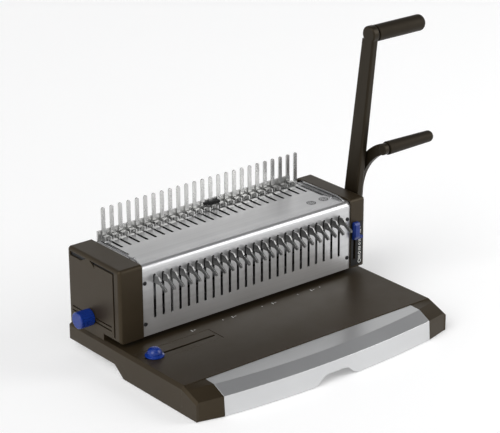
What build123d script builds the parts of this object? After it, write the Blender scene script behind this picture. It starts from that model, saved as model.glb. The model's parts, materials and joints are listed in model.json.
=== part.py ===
from build123d import *
from math import atan2, cos, radians, sin, tan
import os

# A comb binding machine: a lever punch and a comb opener in one head, on a base with a chip drawer.
# Machine coordinates, in millimetres: x runs right from the middle of the base, y runs back from the
# face of the front panel, z runs up from the table. The model's origin is the middle of the whole
# outline, levers and knob included, on the table.

# Comb, paper and punching
comb_pitch = 14.2875
comb_teeth = 24
hole_width = 8.0
hole_depth = 3.0
paper_gap = 6.8
punch_line = 22.0
punch_stroke = 12.0
punch_swing = 80.0

# Base
left_cover_width = 38.0
right_cover_width = 27.3
panel_margin = 21.05
base_margin = 3.0
base_rear = 121.0
deck_front = -139.3
deck_top = 40.4
wall = 3.0
base_clear = 1.0
rear_lift = 16.0
ramp_front = -9.5
ramp_rear = 10.0
deck_bevel = 4.4
floor_thickness = 1.5
foot_radius = 9.0

# Front corners and drawer
corner_width = 39.3
corner_front = -171.0
corner_face_top = 28.0
corner_shoulder = (-147.0, 37.0)
corner_bevel = 3.6
drawer_gap = 0.6
drawer_low = (-180.4, -193.0)
drawer_waist = (-178.4, -189.5)
drawer_brow = (-156.6, -168.9)
drawer_waist_height = 28.8
drawer_fall = 1.1
notch_half = 45.0
notch_height = 12.5
notch_shoulder = 20.0
tray_wall = 2.0
tray_depth = 29.0
tray_rear = 36.0
drawer_travel = 150.0

# Head
head_front = -2.0
head_rear = 119.5
head_top = 153.4
cover_round = 5.0
sheet = 1.2
plate_thickness = 3.0
fold_radius = 8.0
panel_top = 150.0
strip_depth = 14.0
slot_width = 4.0
front_slot_low = 70.5
front_slot_high = 135.0
top_slot_front = 72.0
top_rear = 108.4
throat_depth = 38.0

# Levers, which share one axis
pivot_y = 42.0
pivot_z = 88.0
comb_rod_radius = 5.0
tube_radius = 8.0
running = 0.1
cam_throw = 9.335
cam_radius = 20.0
cam_thickness = 12.0
punch_arm_gap = 2.5
punch_arm_foot = (12.5, 30.0)
punch_arm_head = (11.0, 24.0)
punch_grip_y = 1.0
punch_grip_z = 394.0
punch_grip_radius = 12.0
comb_arm_gap = 14.0
comb_arm_thickness = 7.0
comb_arm_width = 16.0
comb_grip_y = -17.0
comb_grip_z = 225.0
comb_grip_radius = 10.0
grip_reach = 96.5
grip_stagger = 8.0
grip_rod_radius = 6.0

# Comb opener
comb_swing = 70.0
front_crank = 34.0
top_crank = 21.8
crank_pin_radius = 4.0
front_play = 0.8
top_play = 0.6
post_height = 198.0
post_width = 6.0
post_thickness = 2.0
post_offset = -4.55
rail_top = 164.0
hook_thickness = 2.0

# Knobs and sliders
margin_y = 68.0
margin_z = 65.0
margin_radius = 12.0
margin_length = 22.0
margin_throw = 2.0
margin_swing = 60.0
guide_line = -44.0
guide_x = -193.5
guide_knob_radius = 13.2
guide_dome_radius = 10.2
guide_knob_height = 12.4
guide_slot = (-210.0, -92.0)
slider_inset = 7.0
slider_height = 106.0
slider_width = 8.9
slider_depth = 7.2
scale_middle = 83.5
scale_height = 67.0

# Derived places
panel_width = (comb_teeth - 1) * comb_pitch + 2 * panel_margin
base_width = left_cover_width + panel_width + right_cover_width + 2 * base_margin
base_half = base_width / 2
head_left = -base_half + base_margin
head_right = base_half - base_margin
panel_left = head_left + left_cover_width
panel_right = panel_left + panel_width
plate_left = panel_left + plate_thickness
plate_right = panel_right - plate_thickness
panel_middle = (panel_left + panel_right) / 2
row_start = panel_left + panel_margin
row = [row_start + comb_pitch * tooth for tooth in range(comb_teeth)]
posts = [row_start + post_offset + comb_pitch * post for post in range(comb_teeth + 1)]
deck_under = deck_top - wall
panel_low = deck_top + paper_gap
guide_under = panel_low + 0.4
floor_low = base_clear + 1.0
floor_high = floor_low + floor_thickness
rear_floor = rear_lift + 1.0
rear_floor_high = rear_floor + floor_thickness
drawer_half = base_half - corner_width
drawer_rear = deck_front - drawer_gap
drawer_seam = deck_top - 0.9
tray_half = min(drawer_half, -plate_left, plate_right) - 1.5
punch_arm_x = head_right + punch_arm_gap
comb_arm_x = punch_arm_x + comb_arm_gap
grip_end = comb_arm_x + grip_reach
slider_x = panel_right + slider_inset
knob_reach = -head_left + 1.0 + margin_length
machine_x = (knob_reach - grip_end) / 2
machine_y = (-drawer_low[1] - base_rear) / 2
print("machine origin", machine_x, machine_y, "base width", base_width)

os.makedirs("parts", exist_ok=True)


def level(z):
    return Plane(origin=(machine_x, machine_y, z))


def section(x):
    return Plane(origin=(machine_x + x, machine_y, 0), x_dir=(0, 1, 0), z_dir=(1, 0, 0))


def face(y):
    return Plane(origin=(machine_x, machine_y + y, 0), x_dir=(1, 0, 0), z_dir=(0, -1, 0))


def block(x, y, z, mode=Mode.ADD):
    with Locations(Location((machine_x + x[0], machine_y + y[0], z[0]))):
        Box(
            x[1] - x[0],
            y[1] - y[0],
            z[1] - z[0],
            align=(Align.MIN, Align.MIN, Align.MIN),
            mode=mode,
        )


def rod(x, y, z, radius, mode=Mode.ADD):
    with Locations(Location((machine_x + x[0], machine_y + y, z), (0, 90, 0))):
        Cylinder(radius, x[1] - x[0], align=(Align.CENTER, Align.CENTER, Align.MIN), mode=mode)


def pillar(x, y, z, radius, mode=Mode.ADD):
    with Locations(Location((machine_x + x, machine_y + y, z[0]))):
        Cylinder(radius, z[1] - z[0], align=(Align.CENTER, Align.CENTER, Align.MIN), mode=mode)


def stud(x, y, z, radius, mode=Mode.ADD):
    with Locations(Location((machine_x + x, machine_y + y[0], z), (-90, 0, 0))):
        Cylinder(radius, y[1] - y[0], align=(Align.CENTER, Align.CENTER, Align.MIN), mode=mode)


def finish(piece, label):
    piece.part.label = label
    export_step(piece.part, "parts/" + label + ".step")


# Base cover: the moulded deck with its side and rear walls, open at the front for the drawer
side_profile = [
    (deck_front, base_clear),
    (ramp_front, base_clear),
    (ramp_rear, rear_lift),
    (base_rear, rear_lift),
    (base_rear, deck_top),
    (deck_front, deck_top),
]
track_x = (guide_slot[0] - 2.0, guide_slot[1] + 5.0)
track_y = (guide_line - 14.0, guide_line + 20.0)
track_depth = 1.6
die_y = (punch_line - 10.0, punch_line + 12.0)
plate_rear = head_rear - 5.5
with BuildPart() as base_cover:
    with BuildSketch(section(-base_half)):
        with BuildLine():
            Polyline(*side_profile, close=True)
        make_face()
    extrude(amount=base_width)
    rear_corners = base_cover.edges().filter_by(Axis.Z).sort_by(Axis.Y)[-2:]
    fillet(rear_corners, radius=6.0)
    rim = base_cover.faces().sort_by(Axis.Z)[-1].edges().sort_by(Axis.Y)[1:]
    chamfer(rim, length=deck_bevel)
    block(
        (-base_half + wall, base_half - wall),
        (deck_front - 1.0, base_rear - wall),
        (-1.0, deck_under),
        Mode.SUBTRACT,
    )
    block(
        (panel_left - 0.2, panel_right + 0.2),
        (die_y[0] - 0.2, die_y[1] + 0.2),
        (deck_under - 1.0, deck_top + 1.0),
        Mode.SUBTRACT,
    )
    for plate_x in (panel_left, plate_right):
        block(
            (plate_x - 0.3, plate_x + plate_thickness + 0.3),
            (throat_depth + 2.0 - 0.3, plate_rear + 0.3),
            (deck_under - 1.0, deck_top + 1.0),
            Mode.SUBTRACT,
        )
    block(track_x, track_y, (deck_top - track_depth, deck_top + 1.0), Mode.SUBTRACT)
    block(
        (guide_slot[0] - 1.0, guide_slot[1] + 1.0),
        (guide_line - 3.0, guide_line + 3.0),
        (deck_under - 1.0, deck_top),
        Mode.SUBTRACT,
    )
finish(base_cover, "base_cover")

# Guide track: an inset strip with the slot that the edge guide's stem runs in
with BuildPart() as guide_track:
    block(
        (track_x[0] + 0.3, track_x[1] - 1.2),
        (track_y[0] + 0.3, track_y[1] - 0.5),
        (deck_top - track_depth, deck_top - 0.1),
    )
    slot_middle = (guide_slot[0] + guide_slot[1]) / 2
    with BuildSketch(level(deck_top - track_depth)):
        with Locations((slot_middle, guide_line)):
            SlotOverall(guide_slot[1] - guide_slot[0], slot_width)
    extrude(amount=track_depth, mode=Mode.SUBTRACT)
finish(guide_track, "guide_track")

# Base floor: a bent steel sheet that follows the underside
ramp_turn = atan2(rear_floor - floor_low, ramp_rear - ramp_front)
bend_shift = floor_thickness * tan(ramp_turn / 2)
floor_front = deck_front + 3.0
floor_rear = base_rear - wall
with BuildPart() as base_floor:
    with BuildSketch(section(-base_half + wall)):
        with BuildLine():
            Polyline(
                (floor_front, floor_low),
                (ramp_front, floor_low),
                (ramp_rear, rear_floor),
                (floor_rear, rear_floor),
                (floor_rear, rear_floor_high),
                (ramp_rear - bend_shift, rear_floor_high),
                (ramp_front - bend_shift, floor_high),
                (floor_front, floor_high),
                close=True,
            )
        make_face()
    extrude(amount=base_width - 2 * wall)
finish(base_floor, "base_floor")

# Rubber feet: two pads under the front, two tall ones under the raised rear
foot_x = base_half - 49.0
foot_front = -120.0
foot_rear = 100.0
with BuildPart() as rubber_feet:
    for side in (-foot_x, foot_x):
        pillar(side, foot_front, (0, floor_low), foot_radius)
        pillar(side, foot_rear, (0, rear_floor), foot_radius)
finish(rubber_feet, "rubber_feet")

# Front corners: hollow moulded blocks that carry the drawer's bow out to the base's sides
def corner_end(x, low, waist, brow, seam):
    with BuildSketch(section(x)) as end:
        with BuildLine():
            Polyline(
                (deck_front, base_clear),
                (low, base_clear),
                waist,
                brow,
                (deck_front, seam),
                close=True,
            )
        make_face()
    return end.sketch


drawer_waist_end = (drawer_waist[0], drawer_waist_height)
drawer_brow_end = (drawer_brow[0], drawer_seam - drawer_fall / 2)
face_end = (corner_front, corner_face_top)
shoulder_y, shoulder_z = corner_shoulder
low_face_end = (corner_front, corner_face_top - corner_bevel)
low_shoulder = (shoulder_y, shoulder_z - corner_bevel)
for label, side in (("front_corner_left", -1), ("front_corner_right", 1)):
    inner = side * (drawer_half + drawer_gap)
    edge = side * (base_half - corner_bevel)
    outer = side * base_half
    hollow = sorted((inner + side * wall, outer - side * wall))
    with BuildPart() as corner:
        by_drawer = corner_end(inner, drawer_low[0], drawer_waist_end, drawer_brow_end, drawer_seam)
        by_bevel = corner_end(edge, corner_front, face_end, corner_shoulder, drawer_seam)
        bevelled = corner_end(
            outer, corner_front, low_face_end, low_shoulder, drawer_seam - corner_bevel
        )
        loft(sections=[by_drawer, by_bevel, bevelled], ruled=True)
        block(
            hollow,
            (corner_front + wall, deck_front + 1.0),
            (base_clear + wall, corner_face_top - wall),
            Mode.SUBTRACT,
        )
    finish(corner, label)

# Drawer rails: steel angles on the floor that carry the tray
rail_wall = 1.2
rail_rear = ramp_front - 6.0
with BuildPart() as drawer_rails:
    for side in (-1, 1):
        inner = sorted((side * (tray_half - 12.0), side * (tray_half + 1.2)))
        upright = sorted((side * (tray_half + 1.2), side * (tray_half + 1.2 + rail_wall)))
        block(inner, (floor_front + 2.0, rail_rear), (floor_high, floor_high + rail_wall))
        block(upright, (floor_front + 2.0, rail_rear), (floor_high, 20.0))
finish(drawer_rails, "drawer_rails")


def drawer_plan(z, bow, half, rear):
    end, middle = bow
    with BuildSketch(level(z)) as plan:
        with BuildLine():
            Polyline((half, end), (half, rear), (-half, rear), (-half, end))
            ThreePointArc((-half, end), (0, middle), (half, end))
        make_face()
    return plan.sketch


# Drawer front: a bowed hollow moulding with a bevelled brow and a finger notch
with BuildPart() as drawer_front:
    low = drawer_plan(base_clear, drawer_low, drawer_half, drawer_rear)
    waist = drawer_plan(drawer_waist_height, drawer_waist, drawer_half, drawer_rear)
    brow = drawer_plan(drawer_seam, drawer_brow, drawer_half, drawer_rear)
    loft(sections=[low, waist], ruled=True)
    loft(sections=[waist, brow], ruled=True)
    with BuildSketch(section(-base_half)):
        with BuildLine():
            Polyline(
                (drawer_rear + 1.0, drawer_seam),
                (drawer_low[1], drawer_seam - drawer_fall * 1.7),
                (drawer_low[1], drawer_seam + 3.0),
                (drawer_rear + 1.0, drawer_seam + 3.0),
                close=True,
            )
        make_face()
    extrude(amount=base_width, mode=Mode.SUBTRACT)
    inside = drawer_half - wall
    back = drawer_rear - wall
    thin = [(bow[0] + wall, bow[1] + wall) for bow in (drawer_low, drawer_waist, drawer_brow)]
    floor_cut = drawer_plan(base_clear - 1.0, thin[0], inside, back)
    waist_cut = drawer_plan(drawer_waist_height - wall, thin[1], inside, back)
    roof_cut = drawer_plan(drawer_seam - wall - drawer_fall, thin[2], inside, back)
    loft(sections=[floor_cut, waist_cut], ruled=True, mode=Mode.SUBTRACT)
    loft(sections=[waist_cut, roof_cut], ruled=True, mode=Mode.SUBTRACT)
    with BuildSketch(face(drawer_low[0] + wall)):
        with BuildLine():
            Spline(
                (-notch_half, base_clear),
                (-notch_shoulder, base_clear + notch_height * 0.9),
                (0, base_clear + notch_height),
                (notch_shoulder, base_clear + notch_height * 0.9),
                (notch_half, base_clear),
                tangents=[(1, 0), (1, 0)],
            )
            Polyline(
                (notch_half, base_clear),
                (notch_half, base_clear - 1.0),
                (-notch_half, base_clear - 1.0),
                (-notch_half, base_clear),
            )
        make_face()
    extrude(amount=drawer_low[0] + wall - drawer_low[1] + 1.0, mode=Mode.SUBTRACT)
finish(drawer_front, "drawer_front")

# Drawer tray: the chip tray behind it, stepped to clear the raised rear of the floor
tray_floor = floor_high + rail_wall + 0.3
tray_step = rear_floor_high + 2.5
tray_profile = [
    (drawer_rear, tray_floor),
    (ramp_front - 5.5, tray_floor),
    (ramp_rear - 4.0, tray_step),
    (tray_rear, tray_step),
    (tray_rear, tray_floor + tray_depth),
    (drawer_rear, tray_floor + tray_depth),
]
tray_hollow = [
    (drawer_rear + tray_wall, tray_floor + tray_wall),
    (ramp_front - 5.5 - tray_wall / 2, tray_floor + tray_wall),
    (ramp_rear - 4.0 - tray_wall / 2, tray_step + tray_wall),
    (tray_rear - tray_wall, tray_step + tray_wall),
    (tray_rear - tray_wall, tray_floor + tray_depth + 1.0),
    (drawer_rear + tray_wall, tray_floor + tray_depth + 1.0),
]
with BuildPart() as drawer_tray:
    with BuildSketch(section(-tray_half)):
        with BuildLine():
            Polyline(*tray_profile, close=True)
        make_face()
    extrude(amount=2 * tray_half)
    with BuildSketch(section(-tray_half + tray_wall)):
        with BuildLine():
            Polyline(*tray_hollow, close=True)
        make_face()
    extrude(amount=2 * (tray_half - tray_wall), mode=Mode.SUBTRACT)
finish(drawer_tray, "drawer_tray")

# Die plate: the lower half of the punch, flush with the deck
with BuildPart() as die_plate:
    block((panel_left, panel_right), die_y, (deck_under, deck_top))
    for tooth_x in row:
        block(
            (tooth_x - hole_width / 2 - 0.15, tooth_x + hole_width / 2 + 0.15),
            (punch_line - hole_depth / 2 - 0.1, punch_line + hole_depth / 2 + 0.1),
            (deck_under - 1.0, deck_top + 1.0),
            Mode.SUBTRACT,
        )
finish(die_plate, "die_plate")

# Punch guide: the upper plate, which keeps the punch pins square above the paper gap
guide_thickness = 4.0
guide_top = guide_under + guide_thickness
with BuildPart() as punch_guide:
    block((plate_left, plate_right), (5.0, die_y[1]), (guide_under, guide_top))
    for tooth_x in row:
        block(
            (tooth_x - hole_width / 2 - running, tooth_x + hole_width / 2 + running),
            (punch_line - hole_depth / 2 - running, punch_line + hole_depth / 2 + running),
            (guide_under - 1.0, guide_top + 1.0),
            Mode.SUBTRACT,
        )
finish(punch_guide, "punch_guide")

# Side plates: steel C-frames that reach round the paper gap and through the deck
plate_top = panel_top - sheet
jaw_front = die_y[0] - 4.0
plate_profile = [
    (jaw_front, rear_floor_high),
    (plate_rear, rear_floor_high),
    (plate_rear, plate_top),
    (fold_radius, plate_top),
    (sheet, plate_top - fold_radius),
    (sheet, guide_under),
    (throat_depth + 2.0, guide_under),
    (throat_depth + 2.0, deck_under),
    (jaw_front, deck_under),
]
bush_wall = 3.0
left_bush = comb_rod_radius + running + bush_wall
right_bush = tube_radius + running + bush_wall
hook_bar_y = (96.0, 104.0)
hook_bar_z = (141.0, 146.0)
top_travel = 2 * top_crank * sin(radians(comb_swing / 2))
front_travel = 2 * front_crank * sin(radians(comb_swing / 2))
screw_x = (panel_left + 4.8, panel_right - 5.2)
screw_z = (65.0, 125.0)
print("hook travels", top_travel, front_travel)
for label, plate_x, inward, bush in (
    ("left_side_plate", panel_left, 1, left_bush),
    ("right_side_plate", plate_right, -1, right_bush),
):
    tab = sorted((plate_x + plate_thickness / 2, plate_x + plate_thickness / 2 + inward * 11.0))
    screw = screw_x[0] if inward > 0 else screw_x[1]
    with BuildPart() as side_plate:
        with BuildSketch(section(plate_x)):
            with BuildLine():
                Polyline(*plate_profile, close=True)
            make_face()
        extrude(amount=plate_thickness)
        for height in screw_z:
            block(tab, (sheet, sheet + 2.0), (height - 7.0, height + 7.0))
            stud(screw, (0, 9.0), height, 1.6, Mode.SUBTRACT)
        rod((plate_x - 1.0, plate_x + plate_thickness + 1.0), pivot_y, pivot_z, bush, Mode.SUBTRACT)
        block(
            (plate_x - 1.0, plate_x + plate_thickness + 1.0),
            (hook_bar_y[0] - top_travel - 1.0, hook_bar_y[1] + 1.0),
            (hook_bar_z[0] - 0.3, hook_bar_z[1] + 0.3),
            Mode.SUBTRACT,
        )
    finish(side_plate, label)

# Tie rods and spring bar: round bars between the side plates
tie_radius = 4.0
tie_places = ((92.0, 60.0), (109.0, 124.0))
with BuildPart() as tie_rods:
    for tie_y, tie_z in tie_places:
        rod((plate_left, plate_right), tie_y, tie_z, tie_radius)
finish(tie_rods, "tie_rods")

spring_y = 20.0
spring_bar_z = 141.0
spring_bar_radius = 3.0
with BuildPart() as spring_bar:
    rod((plate_left, plate_right), spring_y, spring_bar_z, spring_bar_radius)
finish(spring_bar, "spring_bar")

# Shaft bushes: the plain bearings of the comb rod, on the left, and of the punch tube, on the right
with BuildPart() as shaft_bushes:
    rod((panel_left, plate_left), pivot_y, pivot_z, left_bush)
    rod((plate_right, panel_right), pivot_y, pivot_z, right_bush)
    rod((panel_left, plate_left), pivot_y, pivot_z, comb_rod_radius + running, Mode.SUBTRACT)
    rod((plate_right, panel_right), pivot_y, pivot_z, tube_radius + running, Mode.SUBTRACT)
finish(shaft_bushes, "shaft_bushes")

# Front panel: bent sheet with one upright slot for each hook
front_slot_height = front_slot_high - front_slot_low
front_slot_middle = (front_slot_high + front_slot_low) / 2
with BuildPart() as front_panel:
    with BuildSketch(section(panel_left)):
        with BuildLine():
            Line((sheet, panel_low), (0, panel_low))
            Line((0, panel_low), (0, panel_top - fold_radius))
            CenterArc((fold_radius, panel_top - fold_radius), fold_radius, 90, 90)
            Line((fold_radius, panel_top), (strip_depth, panel_top))
            Line((strip_depth, panel_top), (strip_depth, plate_top))
            Line((strip_depth, plate_top), (fold_radius, plate_top))
            CenterArc((fold_radius, panel_top - fold_radius), fold_radius - sheet, 90, 90)
            Line((sheet, panel_top - fold_radius), (sheet, panel_low))
        make_face()
    extrude(amount=panel_width)
    with BuildSketch(face(0)):
        for tooth_x in row:
            with Locations((tooth_x, front_slot_middle)):
                SlotOverall(front_slot_height, slot_width, rotation=90)
        for screw in screw_x:
            for height in screw_z:
                with Locations((screw, height)):
                    Circle(1.6)
    extrude(amount=-sheet, mode=Mode.SUBTRACT)
finish(front_panel, "front_panel")

# Panel screws
with BuildPart() as panel_screws:
    for screw in screw_x:
        for height in screw_z:
            stud(screw, (-1.6, 0), height, 2.9)
            stud(screw, (0, sheet + 1.9), height, 1.5)
    heads = panel_screws.faces().filter_by(Axis.Y).sort_by(Axis.Y)[:4].edges()
    fillet(heads, radius=0.8)
finish(panel_screws, "panel_screws")

# Top plate: slotted for the comb hooks, wider at the front corners, with a low bead along its rear
ledge = 11.2
ledge_front = 46.0
ledge_taper = 26.0
ledge_gap = 1.7
top_left = panel_left + ledge
top_right = panel_right - ledge
bead = 0.8
bead_middle = panel_middle + 12.0
with BuildPart() as top_plate:
    with BuildSketch(level(plate_top)):
        with BuildLine():
            Polyline(
                (panel_left + 2.5, strip_depth + 0.4),
                (panel_left + 2.5, ledge_taper),
                (top_left, ledge_front),
                (top_left, top_rear),
                (top_right, top_rear),
                (top_right, ledge_front),
                (panel_right - 2.5, ledge_taper),
                (panel_right - 2.5, strip_depth + 0.4),
                close=True,
            )
        make_face()
    extrude(amount=sheet)
    block((top_left, bead_middle - 32.0), (101.0, 102.6), (panel_top, panel_top + bead))
    block((bead_middle + 16.0, top_right), (95.0, 96.6), (panel_top, panel_top + bead))
    with BuildSketch(level(panel_top)):
        with BuildLine():
            Polyline(
                (bead_middle - 32.0, 101.0),
                (bead_middle - 32.0, 102.6),
                (bead_middle - 14.0, top_rear),
                (bead_middle - 11.0, top_rear),
                close=True,
            )
        make_face()
    extrude(amount=bead)
    with BuildSketch(level(plate_top)):
        for tooth_x in row:
            with Locations((tooth_x, (top_slot_front + top_rear + 6.0) / 2)):
                SlotOverall(top_rear + 6.0 - top_slot_front, slot_width, rotation=90)
        for screw in (panel_left + 9.0, panel_right - 9.0):
            with Locations((screw, 31.0)):
                Circle(1.6)
    extrude(amount=sheet + bead, mode=Mode.SUBTRACT)
finish(top_plate, "top_plate")

# Top ledges: bright strips on the side plates, either side of the top plate
with BuildPart() as top_ledges:
    for side, outer, inner in ((-1, panel_left, top_left), (1, panel_right, top_right)):
        with BuildSketch(level(plate_top)):
            with BuildLine():
                Polyline(
                    (outer, ledge_taper),
                    (outer, top_rear),
                    (inner + side * ledge_gap, top_rear),
                    (inner + side * ledge_gap, ledge_front + 0.3),
                    (outer - side * 1.6, ledge_taper),
                    close=True,
                )
            make_face()
        extrude(amount=sheet)
        rim = sorted((outer, outer - side * sheet))
        block(rim, (ledge_taper, top_rear), (panel_top, panel_top + 2.6))
finish(top_ledges, "top_ledges")

# Top screws
with BuildPart() as top_screws:
    for screw in (panel_left + 9.0, panel_right - 9.0):
        pillar(screw, 31.0, (panel_top, panel_top + 1.4), 2.8)
        pillar(screw, 31.0, (plate_top - 6.0, panel_top), 1.5)
    heads = top_screws.faces().filter_by(Axis.Z).sort_by(Axis.Z)[-2:].edges()
    fillet(heads, radius=0.7)
finish(top_screws, "top_screws")

# Post strip, posts and back rail: the fixed comb that the binding comb is threaded over
post_y = (top_rear + 0.6, top_rear + 0.6 + post_thickness)
strip_z = (hook_bar_z[1] - 8.0, panel_top)
with BuildPart() as post_strip:
    block((posts[0] - 8.0, posts[-1] + post_width / 2), post_y, strip_z)
finish(post_strip, "post_strip")

with BuildPart() as comb_posts:
    with BuildSketch(face(post_y[0])):
        for post_x in posts:
            with BuildLine():
                Line((post_x - post_width / 2, panel_top), (post_x + post_width / 2, panel_top))
                Line(
                    (post_x + post_width / 2, panel_top),
                    (post_x + post_width / 2, post_height - post_width / 2),
                )
                CenterArc((post_x, post_height - post_width / 2), post_width / 2, 0, 180)
                Line(
                    (post_x - post_width / 2, post_height - post_width / 2),
                    (post_x - post_width / 2, panel_top),
                )
            make_face()
    extrude(amount=-post_thickness)
finish(comb_posts, "comb_posts")

rail_y = (post_y[1], post_y[1] + 2.8)
with BuildPart() as back_rail:
    block((posts[0] - 9.0, posts[-1] - 9.0), rail_y, (strip_z[0], rail_top))
finish(back_rail, "back_rail")

# Centre clip: a black cap clipped over one post, against the rail
clip_post = posts[comb_teeth // 2 + 1]
clip_z = (157.8, 161.8)
with BuildPart() as centre_clip:
    with BuildSketch(level(clip_z[0])):
        with BuildLine():
            Polyline(
                (clip_post - 11.0, rail_y[0]),
                (clip_post - 13.5, rail_y[0] - 3.5),
                (clip_post + 12.0, rail_y[0] - 8.0),
                (clip_post + 12.0, rail_y[0]),
                close=True,
            )
        make_face()
    extrude(amount=clip_z[1] - clip_z[0])
    for post_x in posts:
        gap = 0.0 if post_x == clip_post else 0.3
        block(
            (post_x - post_width / 2 - gap, post_x + post_width / 2 + gap),
            (post_y[0] - gap, post_y[1]),
            (clip_z[0] - 1.0, clip_z[1] + 1.0),
            Mode.SUBTRACT,
        )
finish(centre_clip, "centre_clip")

# Rear cover: a moulded panel between the end covers
with BuildPart() as rear_cover:
    block((panel_left, panel_right), (head_rear - wall, head_rear), (deck_top, panel_top - 4.0))
    block(
        (panel_left + 14.0, panel_right - 14.0),
        (head_rear - 0.8, head_rear + 1.0),
        (deck_top + 12.0, panel_top - 16.0),
        Mode.SUBTRACT,
    )
finish(rear_cover, "rear_cover")

# End covers: moulded shells, open towards the machine, stepped at the foot for the paper gap
cover_profile = [
    (head_front, panel_low),
    (throat_depth, panel_low),
    (throat_depth, deck_top),
    (head_rear, deck_top),
    (head_rear, head_top),
    (head_front, head_top),
]
hollow_profile = [
    (head_front + wall, panel_low + wall),
    (throat_depth + wall, panel_low + wall),
    (throat_depth + wall, deck_top - 1.0),
    (head_rear - wall, deck_top - 1.0),
    (head_rear - wall, head_top - wall),
    (head_front + wall, head_top - wall),
]
groove = 2.0
groove_width = 3.4
line_width = 2.2
with BuildPart() as left_cover:
    with BuildSketch(section(head_left)):
        with BuildLine():
            Polyline(*cover_profile, close=True)
        make_face()
    extrude(amount=left_cover_width)
    rim = left_cover.faces().sort_by(Axis.X)[0].edges().sort_by(Axis.Z)[2:]
    ridges = left_cover.edges().filter_by(Axis.X).sort_by(Axis.Z)[-2:]
    fillet(rim + ridges, radius=cover_round)
    with BuildSketch(section(head_left + wall)):
        with BuildLine():
            Polyline(*hollow_profile, close=True)
        make_face()
    extrude(amount=left_cover_width, mode=Mode.SUBTRACT)
    with BuildSketch(section(head_left)):
        with BuildLine():
            Polyline((67.0, 148.5), (54.0, 139.5), (57.0, 148.5), close=True)
        make_face()
        with BuildLine():
            Polyline(
                (60.0, 148.5),
                (60.0, 148.5 - groove_width),
                (10.0 + groove_width, 148.5 - groove_width),
                (10.0 + groove_width, 53.0),
                (10.0, 53.0),
                (10.0, 148.5),
                close=True,
            )
        make_face()
        with BuildLine():
            Polyline((112.5, 148.0), (74.0, 148.0), (87.0, 141.5), (112.5, 141.5), close=True)
        make_face()
        for line_z in (60.9, 66.8):
            with Locations((64.7, line_z)):
                Rectangle(92.2, line_width)
    extrude(amount=groove, mode=Mode.SUBTRACT)
    rod((head_left - 1.0, head_left + wall + 1.0), margin_y, margin_z, 4.0 + running, Mode.SUBTRACT)
    block(
        (head_left + 20.6, head_left + 27.4),
        (26.0, 46.0),
        (deck_top - 1.0, panel_low + wall + 2.0),
        Mode.SUBTRACT,
    )
finish(left_cover, "left_cover")

slider_channel = (slider_x - 2.2, slider_x + 2.2)
channel_low = 60.0
channel_high = 116.0
with BuildPart() as right_cover:
    with BuildSketch(section(panel_right)):
        with BuildLine():
            Polyline(*cover_profile, close=True)
        make_face()
    extrude(amount=right_cover_width)
    rim = right_cover.faces().sort_by(Axis.X)[-1].edges().sort_by(Axis.Z)[2:]
    ridges = right_cover.edges().filter_by(Axis.X).sort_by(Axis.Z)[-2:]
    fillet(rim + ridges, radius=cover_round)
    with BuildSketch(section(panel_right - 1.0)):
        with BuildLine():
            Polyline(*hollow_profile, close=True)
        make_face()
    extrude(amount=right_cover_width + 1.0 - wall, mode=Mode.SUBTRACT)
    rod(
        (head_right - wall - 1.0, head_right + 1.0),
        pivot_y,
        pivot_z,
        tube_radius + 1.0,
        Mode.SUBTRACT,
    )
    block(
        slider_channel,
        (head_front - 1.0, head_front + wall + 1.0),
        (channel_low, channel_high),
        Mode.SUBTRACT,
    )
finish(right_cover, "right_cover")

# Scale plate: the black face of the slider's slot, rounded like the cover's foot
scale_face = 0.5
with BuildPart() as scale_plate:
    with BuildSketch(face(head_front)):
        with Locations(((panel_right + head_right - cover_round + 0.2) / 2, scale_middle)):
            Rectangle(head_right - cover_round - panel_right - 0.6, scale_height)
        with Locations((slider_x, channel_low)):
            Rectangle(
                slider_channel[1] - slider_channel[0],
                scale_height,
                align=(Align.CENTER, Align.MIN),
                mode=Mode.SUBTRACT,
            )
    extrude(amount=scale_face)
    outer_foot = scale_plate.edges().filter_by(Axis.Y).group_by(Axis.X)[-1].sort_by(Axis.Z)[0]
    fillet(outer_foot, radius=cover_round - 0.6)
finish(scale_plate, "scale_plate")

# Comb size slider: a grip with a pointer, a stem through the cover and a retainer behind it
slider_back = head_front - scale_face - 0.3
slider_front = slider_back - slider_depth
with BuildPart() as size_slider:
    with BuildSketch(section(slider_x - slider_width / 2)):
        with BuildLine():
            Polyline(
                (slider_back, slider_height - 14.0),
                (slider_front + 2.6, slider_height - 13.0),
                (slider_front, slider_height - 8.5),
                (slider_front, slider_height + 9.5),
                (slider_front + 2.2, slider_height + 12.5),
                (slider_back, slider_height + 12.5),
                close=True,
            )
        make_face()
    extrude(amount=slider_width)
    fillet(size_slider.faces().sort_by(Axis.Y)[0].edges().filter_by(Axis.Z), radius=1.2)
    with BuildSketch(face(slider_back)):
        with BuildLine():
            Polyline(
                (slider_x, slider_height - 6.5),
                (slider_x + 14.2, slider_height - 10.5),
                (slider_x + 14.2, slider_height - 14.5),
                (slider_x, slider_height - 15.5),
                close=True,
            )
        make_face()
    extrude(amount=2.4)
    block(
        (slider_x - 1.8, slider_x + 1.8),
        (slider_back - 1.0, head_front + wall + 0.4),
        (slider_height - 6.0, slider_height + 6.0),
    )
finish(size_slider, "size_slider")

with BuildPart() as slider_retainer:
    block(
        (slider_x - 4.4, slider_x + 4.4),
        (head_front + wall + 0.4, head_front + wall + 2.4),
        (slider_height - 8.0, slider_height + 8.0),
    )
finish(slider_retainer, "slider_retainer")

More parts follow.
